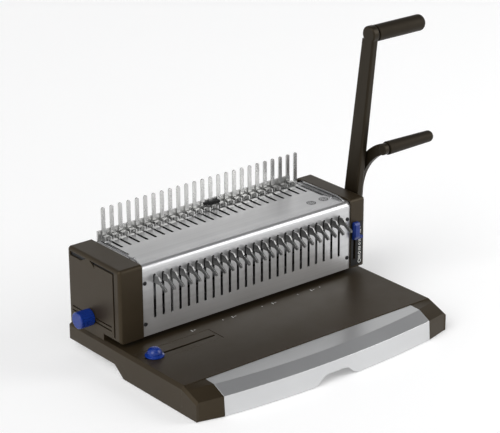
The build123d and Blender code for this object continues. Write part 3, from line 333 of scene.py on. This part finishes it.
platedSteel = {
    "metal": 0.9, "deep": (0.50, 0.50, 0.49), "light": (0.62, 0.62, 0.61), "edgeWearAndHighlight": (0.95, 0.95, 0.95),
    "edgeWearAndHighlightShare": 0.6, "rough": (0.24, 0.32), "blotch": 40.0, "brush": (260.0, 260.0, 18.0), "bands": 0.1,
    "bump": 0.03, "depth": 0.01, "edge": 0.45,
}
toolSteel = {
    "metal": 1.0, "deep": (0.24, 0.24, 0.25), "light": (0.34, 0.34, 0.35), "edgeWearAndHighlight": (0.55, 0.55, 0.56),
    "edgeWearAndHighlightShare": 0.5, "rough": (0.28, 0.42), "blotch": 50.0, "brush": (40.0, 1400.0, 1400.0), "bands": 0.1,
    "bump": 0.1, "depth": 0.02, "edge": 0.35,
}
screwSteel = {
    "metal": 1.0, "deep": (0.42, 0.42, 0.43), "light": (0.52, 0.52, 0.53), "edgeWearAndHighlight": (0.75, 0.75, 0.75),
    "edgeWearAndHighlightShare": 0.5, "rough": (0.16, 0.26), "blotch": 120.0, "brush": (700.0, 700.0, 700.0), "bands": 0.2,
    "bump": 0.05, "depth": 0.01, "edge": 0.25,
}
acetalWhite = {
    "metal": 0.0, "deep": (0.72, 0.71, 0.66), "light": (0.80, 0.79, 0.74), "edgeWearAndHighlight": (0.85, 0.85, 0.82),
    "edgeWearAndHighlightShare": 0.2, "rough": (0.35, 0.45), "blotch": 30.0, "cells": 1500.0, "drift": 20.0, "bump": 0.1,
    "depth": 0.03, "edge": 0.3,
}
footRubber = {
    "metal": 0.0, "deep": (0.014, 0.014, 0.014), "light": (0.026, 0.025, 0.024),
    "edgeWearAndHighlight": (0.06, 0.06, 0.058), "edgeWearAndHighlightShare": 0.4, "rough": (0.7, 0.85), "blotch": 30.0, "cells": 800.0,
    "drift": 25.0, "bump": 0.5, "depth": 0.1, "edge": 0.8,
}
whitePrint = {
    "metal": 0.0, "deep": (0.66, 0.66, 0.64), "light": (0.78, 0.78, 0.76), "edgeWearAndHighlight": (0.8, 0.8, 0.78),
    "edgeWearAndHighlightShare": 0.1, "rough": (0.5, 0.6), "blotch": 60.0, "cells": 2200.0, "drift": 90.0, "bump": 0.1,
    "depth": 0.01, "edge": 0.05,
}
greyPrint = {
    "metal": 0.0, "deep": (0.018, 0.018, 0.019), "light": (0.030, 0.030, 0.031),
    "edgeWearAndHighlight": (0.05, 0.05, 0.05), "edgeWearAndHighlightShare": 0.1, "rough": (0.45, 0.55), "blotch": 60.0, "cells": 2200.0,
    "drift": 90.0, "bump": 0.1, "depth": 0.01, "edge": 0.05,
}

slotFinish = {
    "brown_plastic": makeFinish("mouldedBrown", mouldedBrown),
    "lever_paint": makeFinish("leverBrown", leverBrown),
    "grip_plastic": makeFinish("gripBrown", gripBrown),
    "blue_plastic": makeFinish("royalBlue", royalBlue),
    "black_plastic": makeFinish("matteBlack", matteBlack),
    "silver_plastic": makeFinish("silverLacquer", silverLacquer),
    "brushed_steel": makeFinish("brushedSheet", brushedSheet),
    "plated_steel": makeFinish("platedSteel", platedSteel),
    "hook_steel": makeFinish("hookSteel", hookSteel),
    "blackened_steel": makeFinish("blackenedSteel", blackenedSteel),
    "tool_steel": makeFinish("toolSteel", toolSteel),
    "screw_steel": makeFinish("screwSteel", screwSteel),
    "bearing_plastic": makeFinish("acetalWhite", acetalWhite),
    "foot_rubber": makeFinish("footRubber", footRubber),
}
whiteInk = makeFinish("whitePrint", whitePrint)
greyInk = makeFinish("greyPrint", greyPrint)

for entry in frame["record"]["subparts"]:
    meshData = cadNodes[entry["node"]].data
    meshData.materials.clear()
    meshData.materials.append(slotFinish[entry["material_slot"]])
print("stage 3: finishes made and given to the parts")


def addPiece(name, mesh, finish, body="frame"):
    data = bpy.data.meshes.new(name)
    bmesh.ops.recalc_face_normals(mesh, faces=mesh.faces)
    mesh.to_mesh(data)
    mesh.free()
    piece = bpy.data.objects.new(name, data)
    bpy.context.scene.collection.objects.link(piece)
    data.materials.append(finish)
    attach(piece, body)
    return piece


# how far a layer of ink stands off its plane
def inkLift(plane):
    return (plane.to_3x3() @ Vector((0.0, 0.0, 1.0))) * inkThick


# a flat shape of ink, a closed loop of points on a plane, with its own thin edge
def inkShape(mesh, points, plane):
    ring = [mesh.verts.new(plane @ Vector((x, y, 0.0))) for x, y in points]
    grown = bmesh.ops.extrude_face_region(mesh, geom=[mesh.faces.new(ring)])
    raised = [v for v in grown["geom"] if isinstance(v, bmesh.types.BMVert)]
    bmesh.ops.translate(mesh, vec=inkLift(plane), verts=raised)


def inkBar(mesh, middle, size, plane):
    halfX, halfY = size[0] / 2, size[1] / 2
    corners = [(-halfX, -halfY), (halfX, -halfY), (halfX, halfY), (-halfX, halfY)]
    inkShape(mesh, [(middle[0] + x, middle[1] + y) for x, y in corners], plane)


def inkRing(mesh, middle, outer, inner, plane, steps=40):
    turns = [2 * math.pi * i / steps for i in range(steps)]
    rows = []
    for radius in (inner, outer):
        flat = []
        for turn in turns:
            x, y = middle[0] + radius * math.cos(turn), middle[1] + radius * math.sin(turn)
            flat.append(plane @ Vector((x, y, 0.0)))
        rows.append([mesh.verts.new(point) for point in flat])
        rows.append([mesh.verts.new(point + inkLift(plane)) for point in flat])
    innerLow, innerTop, outerLow, outerTop = rows
    for i in range(steps):
        j = (i + 1) % steps
        mesh.faces.new((innerTop[i], innerTop[j], outerTop[j], outerTop[i]))
        mesh.faces.new((innerLow[i], outerLow[i], outerLow[j], innerLow[j]))
        mesh.faces.new((outerLow[i], outerTop[i], outerTop[j], outerLow[j]))
        mesh.faces.new((innerLow[i], innerLow[j], innerTop[j], innerTop[i]))


hooksLow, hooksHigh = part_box("front_hooks")
hookRow = {"teeth": 24, "thick": 2.0}
firstHook = hooksLow.x + hookRow["thick"] / 2 * mm
pitch = (hooksHigh.x - hooksLow.x - hookRow["thick"] * mm) / (hookRow["teeth"] - 1)
slotsX = [firstHook + pitch * i for i in range(hookRow["teeth"])]
topZ = panelHigh.z
upright = Matrix.Rotation(math.pi / 2, 4, "X")
deckPlane = Matrix.Translation((middleX, panelY, deckZ))
platePlane = Matrix.Translation((middleX, panelY, topZ))
stripPlane = Matrix.Translation((stripHigh.x, stripLow.y, stripLow.z)) @ upright

# paper marks on the deck: a stroke for each sheet size, where the sheets' edges come
deckMarks = {
    "line": -13.8,
    "long": {"places": (-108, -37, 35, 106), "size": (1.1, 5.0)},
    "tail": {"offset": 4.5, "size": (3.4, 0.7)},
    "short": {"places": (-53, 17, 82, 123), "rise": 1.2, "size": (0.8, 2.6)},
}


def inMetres(pair):
    return (pair[0] * mm, pair[1] * mm)


marks = bmesh.new()
for x in deckMarks["long"]["places"]:
    inkBar(marks, inMetres((x, deckMarks["line"])), inMetres(deckMarks["long"]["size"]), deckPlane)
    tail = (x + deckMarks["tail"]["offset"], deckMarks["line"])
    inkBar(marks, inMetres(tail), inMetres(deckMarks["tail"]["size"]), deckPlane)
for x in deckMarks["short"]["places"]:
    stroke = (x, deckMarks["line"] + deckMarks["short"]["rise"])
    inkBar(marks, inMetres(stroke), inMetres(deckMarks["short"]["size"]), deckPlane)
addPiece("deckMarks", marks, whiteInk)
print("stage 4: deck marks printed")


# comb size marks on the black strip: rings that grow towards the foot, with strokes between them
sizeMarks = {
    "inset": 5.2, "line": 0.9, "stroke": (4.6, 1.0), "shares": (0.34, 0.5, 0.66),
    "rings": ((58.0, 1.3), (45.5, 1.7), (32.0, 2.1), (18.0, 2.5), (5.5, 3.0)),
}
marks = bmesh.new()
for height, radius in sizeMarks["rings"]:
    middle = inMetres((-sizeMarks["inset"], height))
    inkRing(marks, middle, radius * mm, (radius - sizeMarks["line"]) * mm, stripPlane)
ringHeights = [height for height, radius in sizeMarks["rings"]]
for lower, upper in zip(ringHeights[1:], ringHeights):
    for share in sizeMarks["shares"]:
        middle = inMetres((-sizeMarks["inset"], lower + (upper - lower) * share))
        inkBar(marks, middle, inMetres(sizeMarks["stroke"]), stripPlane)
addPiece("sizeMarks", marks, whiteInk)

# two round signs on the top plate: a punched sheet, and a sheet on a comb
signs = {
    "places": ((146.0, 34.0), (169.0, 34.0)), "radius": 7.0, "line": 1.3,
    "bars": (
        ((0.0, 3.4), (6.0, 0.8)),
        ((0.0, -3.6), (6.0, 0.8)),
        ((-3.4, -0.1), (0.8, 7.8)),
        ((3.4, -0.1), (0.8, 7.8)),
    ),
    "holes": (-2.4, -0.8, 0.8, 2.4), "holeLine": 1.2, "slot": (0.9, 1.6), "ring": (0.75, 0.3),
    "foot": ((0.0, -1.6), (4.4, 0.7)),
}
marks = bmesh.new()
for number, (x, y) in enumerate(signs["places"]):
    ringInner = (signs["radius"] - signs["line"]) * mm
    inkRing(marks, inMetres((x, y)), signs["radius"] * mm, ringInner, platePlane)
    for offset, size in signs["bars"]:
        inkBar(marks, inMetres((x + offset[0], y + offset[1])), inMetres(size), platePlane)
    for hole in signs["holes"]:
        place = inMetres((x + hole, y + signs["holeLine"]))
        if number == 0:
            inkBar(marks, place, inMetres(signs["slot"]), platePlane)
        else:
            outer, inner = inMetres(signs["ring"])
            inkRing(marks, place, outer, inner, platePlane, steps=16)
    offset, size = signs["foot"]
    inkBar(marks, inMetres((x + offset[0], y + offset[1])), inMetres(size), platePlane)
addPiece("roundSigns", marks, greyInk)

# painted highlight: a white ridge along the top plate's low bead, broken where the hooks' slots cross it
beadHighlight = {
    "left": (99.4, 102.8), "right": (93.8, 97.2), "leftEnd": -20.0, "rightStart": 28.0,
    "high": 1.1, "room": 2.3,
}
beadHighlightMesh = bmesh.new()


# a wedge along x that leans towards the operator
def addRidge(mesh, start, end, front, rear, base, high):
    rows = []
    for x in (start, end):
        profile = ((front, base), (rear, base), (rear, base + high))
        rows.append([mesh.verts.new((x, y, z)) for y, z in profile])
    first, last = rows
    mesh.faces.new(first)
    mesh.faces.new(list(reversed(last)))
    for i in range(3):
        mesh.faces.new((first[i], last[i], last[(i + 1) % 3], first[(i + 1) % 3]))


for here, beyond in zip(slotsX, slotsX[1:]):
    low, high = here + beadHighlight["room"] * mm, beyond - beadHighlight["room"] * mm
    if high < middleX + beadHighlight["leftEnd"] * mm:
        front, rear = beadHighlight["left"]
    elif low > middleX + beadHighlight["rightStart"] * mm:
        front, rear = beadHighlight["right"]
    else:
        continue
    addRidge(beadHighlightMesh, low, high, panelY + front * mm, panelY + rear * mm, topZ, beadHighlight["high"] * mm)
addPiece("beadHighlight", beadHighlightMesh, whiteInk)
# polished rims of the side plates: they stand over the ledges and turn down at the front
rimShape = {
    "inset": 1.3, "radius": 1.15, "sides": 14,
    "path": (
        (100.0, 2.6), (70.0, 3.0), (40.0, 3.2), (28.0, 3.1),
        (20.0, 2.6), (14.5, 1.5), (10.5, -0.2), (8.0, -2.4),
    ),
}


# a round rod along points in an upright plane, its ends closed
def addRod(mesh, x, path, radius, sides):
    points = [Vector((x, y, z)) for y, z in path]
    across = Vector((1.0, 0.0, 0.0))
    turns = [2 * math.pi * k / sides for k in range(sides)]
    rows = []
    for i, point in enumerate(points):
        way = (points[min(i + 1, len(points) - 1)] - points[max(i - 1, 0)]).normalized()
        over = way.cross(across)
        reaches = [(across * math.cos(turn) + over * math.sin(turn)) * radius for turn in turns]
        rows.append([mesh.verts.new(point + reach) for reach in reaches])
    for lower, upper in zip(rows, rows[1:]):
        for i in range(sides):
            mesh.faces.new((lower[i], lower[(i + 1) % sides], upper[(i + 1) % sides], upper[i]))
    mesh.faces.new(list(reversed(rows[0])))
    mesh.faces.new(rows[-1])


rims = bmesh.new()
for x in (plateLow.x + rimShape["inset"] * mm, plateHigh.x - rimShape["inset"] * mm):
    path = [(panelY + y * mm, topZ + z * mm) for y, z in rimShape["path"]]
    addRod(rims, x, path, rimShape["radius"] * mm, rimShape["sides"])
rimPiece = addPiece("polishedRims", rims, slotFinish["screw_steel"])
for face in rimPiece.data.polygons:
    face.use_smooth = len(face.vertices) == 4

# painted shade: black strips laid over the gaps between the top plate and its two ledges
gapShadeShape = {"reach": 11.4, "wide": 2.0, "front": 46.0, "rear": 99.0}
gapShadeMesh = bmesh.new()
for side, end in ((1, plateLow.x), (-1, plateHigh.x)):
    inner = end + side * gapShadeShape["reach"] * mm - middleX
    outer = inner - side * gapShadeShape["wide"] * mm
    front, rear = inMetres((gapShadeShape["front"], gapShadeShape["rear"]))
    inkShape(gapShadeMesh, [(inner, rear), (inner, front), (outer, front), (outer, rear)], platePlane)
addPiece("ledgeGapShade", gapShadeMesh, slotFinish["black_plastic"])

# painted shade: black strips in the left cover's grooves: a corner stroke, a wedge, a pointer and two long
# lines
grooveShade = {
    "inset": 1.94,
    "shapes": (
        ((67.0, 148.3), (54.4, 139.9), (57.0, 148.3)),
        ((60.0, 148.3), (60.0, 145.3), (13.2, 145.3), (13.2, 53.2), (10.2, 53.2), (10.2, 148.3)),
        ((112.3, 147.8), (74.6, 147.8), (87.2, 141.7), (112.3, 141.7)),
    ),
    "lines": (60.9, 66.8), "span": (18.8, 110.6), "wide": 1.8,
}
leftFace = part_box("left_cover")[0].x
sidePlane = Matrix(
    (
        (0.0, 0.0, 1.0, leftFace + grooveShade["inset"] * mm),
        (1.0, 0.0, 0.0, panelY),
        (0.0, 1.0, 0.0, 0.0),
        (0.0, 0.0, 0.0, 1.0),
    )
)
grooveShadeMesh = bmesh.new()
for corners in grooveShade["shapes"]:
    inkShape(grooveShadeMesh, [inMetres(corner) for corner in corners], sidePlane)
low, high = grooveShade["span"]
for z in grooveShade["lines"]:
    inkBar(grooveShadeMesh, inMetres(((low + high) / 2, z)), inMetres((high - low, grooveShade["wide"])), sidePlane)
addPiece("grooveShade", grooveShadeMesh, slotFinish["black_plastic"])
# stage 5 text: the rest line is a painted highlight on the bead; the black in the cover's grooves is painted
# shade
print("stage 5: scale, signs, rest line and cover paint laid")


# a pan head turned on its axis, with a cross cut into it; z is the head's own axis
screwShape = {
    "sides": 36, "span": 1.15, "slit": 0.26, "depth": 0.7,
    "crown": ((1.0, 0.0), (1.0, 0.35), (0.93, 0.62), (0.78, 0.84), (0.55, 0.96), (0.28, 1.0)),
}


def screwHead(radius, height):
    head = bmesh.new()
    count = screwShape["sides"]
    turns = [2 * math.pi * i / count for i in range(count)]
    rows = []
    for share, rise in screwShape["crown"]:
        reach = radius * share
        rim = [(reach * math.cos(turn), reach * math.sin(turn), height * rise) for turn in turns]
        rows.append([head.verts.new(point) for point in rim])
    for lower, upper in zip(rows, rows[1:]):
        for i in range(count):
            head.faces.new((lower[i], lower[(i + 1) % count], upper[(i + 1) % count], upper[i]))
    head.faces.new(rows[-1])
    head.faces.new(list(reversed(rows[0])))
    solid = bpy.data.meshes.new("screwSolid")
    head.to_mesh(solid)
    head.free()
    span, slit = screwShape["span"] * radius, screwShape["slit"] * radius
    cutter = bmesh.new()
    for long, wide in ((span, slit), (slit, span)):
        shape = Matrix.Diagonal((long, wide, screwShape["depth"] * height * 2, 1.0))
        bmesh.ops.create_cube(cutter, size=1.0, matrix=Matrix.Translation((0.0, 0.0, height)) @ shape)
    cutData = bpy.data.meshes.new("screwCross")
    cutter.to_mesh(cutData)
    cutter.free()
    solidObject = bpy.data.objects.new("screwSolid", solid)
    cutObject = bpy.data.objects.new("screwCross", cutData)
    for made in (solidObject, cutObject):
        bpy.context.scene.collection.objects.link(made)
    cut = solidObject.modifiers.new("cross", "BOOLEAN")
    cut.operation = "DIFFERENCE"
    cut.solver = "EXACT"
    cut.use_self = True
    cut.object = cutObject
    bpy.context.view_layer.update()
    ready = bpy.data.meshes.new_from_object(solidObject.evaluated_get(bpy.context.evaluated_depsgraph_get()))
    for made in (solidObject, cutObject):
        bpy.data.objects.remove(made)
    return ready


def addScrews(name, places, facing, radius, height, finish, stands=()):
    head = screwHead(radius, height)
    screws = bmesh.new()
    for place in places:
        first = len(screws.verts)
        screws.from_mesh(head)
        screws.verts.ensure_lookup_table()
        turn = Matrix.Rotation(dice.uniform(0.1, 1.4), 4, "Z")
        seat = Matrix.Translation(place) @ facing @ turn
        bmesh.ops.transform(screws, matrix=seat, verts=screws.verts[first:])
    piece = addPiece(name, screws, finish)
    if stands:
        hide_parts(*stands)
    return piece


panelScrew = {"radius": 2.9 * mm, "node": "panel_screws"}
low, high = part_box(panelScrew["node"])
panelPlaces = [
    (x, panelY, z)
    for x in (low.x + panelScrew["radius"], high.x - panelScrew["radius"])
    for z in (low.z + panelScrew["radius"], high.z - panelScrew["radius"])
]
addScrews(
    "panelScrews", panelPlaces, upright, panelScrew["radius"], panelY - low.y,
    slotFinish["blackened_steel"], (panelScrew["node"],),
)

topScrew = {"radius": 2.8 * mm, "node": "top_screws"}
low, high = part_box(topScrew["node"])
topPlaces = [
    (x, (low.y + high.y) / 2, topZ)
    for x in (low.x + topScrew["radius"], high.x - topScrew["radius"])
]
addScrews(
    "topScrews", topPlaces, Matrix.Identity(4), topScrew["radius"], high.z - topZ,
    slotFinish["screw_steel"], (topScrew["node"],),
)

rearScrew = {"radius": 2.8 * mm, "height": 1.0 * mm, "fromEnd": 9 * mm, "fromEdge": 8 * mm}
low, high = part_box("rear_cover")
rearPlaces = [
    (x, high.y, z)
    for x in (low.x + rearScrew["fromEnd"], (low.x + high.x) / 2, high.x - rearScrew["fromEnd"])
    for z in (low.z + rearScrew["fromEdge"], high.z - rearScrew["fromEdge"])
]
addScrews(
    "rearScrews", rearPlaces, Matrix.Rotation(-math.pi / 2, 4, "X"), rearScrew["radius"],
    rearScrew["height"], slotFinish["blackened_steel"],
)
print("stage 6: screws set")


studio = {
    "floorTone": (0.80, 0.80, 0.80), "floorRough": 0.8, "floorGlow": 0.235, "floorReach": 15.0,
    "horizon": (0.78, 0.78, 0.78), "zenith": (0.12, 0.12, 0.125), "rise": (0.42, 0.66), "air": 1.0,
    "key": {"from": (-0.74, -0.18, 0.62), "angle": 42.0, "power": 1.35},
    "fill": {"from": (-0.35, -0.12, 0.93), "angle": 60.0, "power": 0.75},
    "strip": {"place": (1.9, -1.5, 1.55), "size": (1.1, 2.3), "power": 26.0},
}

floorMesh = bmesh.new()
bmesh.ops.create_grid(floorMesh, x_segments=2, y_segments=2, size=studio["floorReach"])
floorData = bpy.data.meshes.new("floor")
floorMesh.to_mesh(floorData)
floorMesh.free()
floor = bpy.data.objects.new("floor", floorData)
bpy.context.scene.collection.objects.link(floor)
floorFinish = bpy.data.materials.new("paleFloor")
floorFinish.use_nodes = True
floorShader = floorFinish.node_tree.nodes["Principled BSDF"]
floorShader.inputs["Base Color"].default_value = (*studio["floorTone"], 1.0)
floorShader.inputs["Roughness"].default_value = studio["floorRough"]
floorShader.inputs["Emission Color"].default_value = (1.0, 1.0, 1.0, 1.0)
floorShader.inputs["Emission Strength"].default_value = studio["floorGlow"]
floorData.materials.append(floorFinish)

air = bpy.data.worlds.new("studioAir")
bpy.context.scene.world = air
air.use_nodes = True
airTree = air.node_tree
airWay = addNode(airTree, "ShaderNodeTexCoord")
airSplit = addNode(airTree, "ShaderNodeSeparateXYZ")
wire(airTree, airWay.outputs["Generated"], airSplit.inputs[0])
airRise = addNode(airTree, "ShaderNodeMapRange", interpolation_type="SMOOTHSTEP")
airRise.inputs["From Min"].default_value = studio["rise"][0]
airRise.inputs["From Max"].default_value = studio["rise"][1]
wire(airTree, airSplit.outputs["Z"], airRise.inputs["Value"])
airColour = blendColours(airTree, airRise.outputs["Result"], studio["horizon"], studio["zenith"])
wire(airTree, airColour, airTree.nodes["Background"].inputs["Color"])
airTree.nodes["Background"].inputs["Strength"].default_value = studio["air"]


def addSun(name, sun):
    data = bpy.data.lights.new(name, "SUN")
    data.angle = math.radians(sun["angle"])
    data.energy = sun["power"]
    lamp = bpy.data.objects.new(name, data)
    lamp.rotation_euler = Vector(sun["from"]).to_track_quat("Z", "Y").to_euler()
    bpy.context.scene.collection.objects.link(lamp)


def addSoftbox(name, box, target):
    data = bpy.data.lights.new(name, "AREA")
    data.shape = "RECTANGLE"
    data.size, data.size_y = box["size"]
    data.energy = box["power"]
    lamp = bpy.data.objects.new(name, data)
    lamp.location = box["place"]
    lamp.rotation_euler = (Vector(target) - Vector(box["place"])).to_track_quat("-Z", "Y").to_euler()
    bpy.context.scene.collection.objects.link(lamp)


addSun("keySun", studio["key"])
addSun("fillSun", studio["fill"])
addSoftbox("foldStrip", studio["strip"], (0.0, 0.0, 0.12))

viewpoint = {
    "place": (-1.661, -1.980, 1.215), "right": (0.77807, -0.62817, -0.00432),
    "up": (0.23735, 0.28761, 0.92788), "ahead": (0.58162, 0.72298, -0.37287), "lens": 145.7,
}
cameraData = bpy.data.cameras.new("camera")
cameraData.lens = viewpoint["lens"]
cameraData.sensor_width = 36.0
cameraData.clip_start = 0.05
cameraData.clip_end = 60.0
camera = bpy.data.objects.new("camera", cameraData)
columns = [Vector(viewpoint["right"]), Vector(viewpoint["up"]), -Vector(viewpoint["ahead"])]
turned = Matrix(columns).transposed().to_4x4()
camera.matrix_world = Matrix.Translation(viewpoint["place"]) @ turned
bpy.context.scene.collection.objects.link(camera)
bpy.context.scene.camera = camera
bpy.context.scene.view_settings.view_transform = "Standard"
print("stage 7: floor, light and camera set")
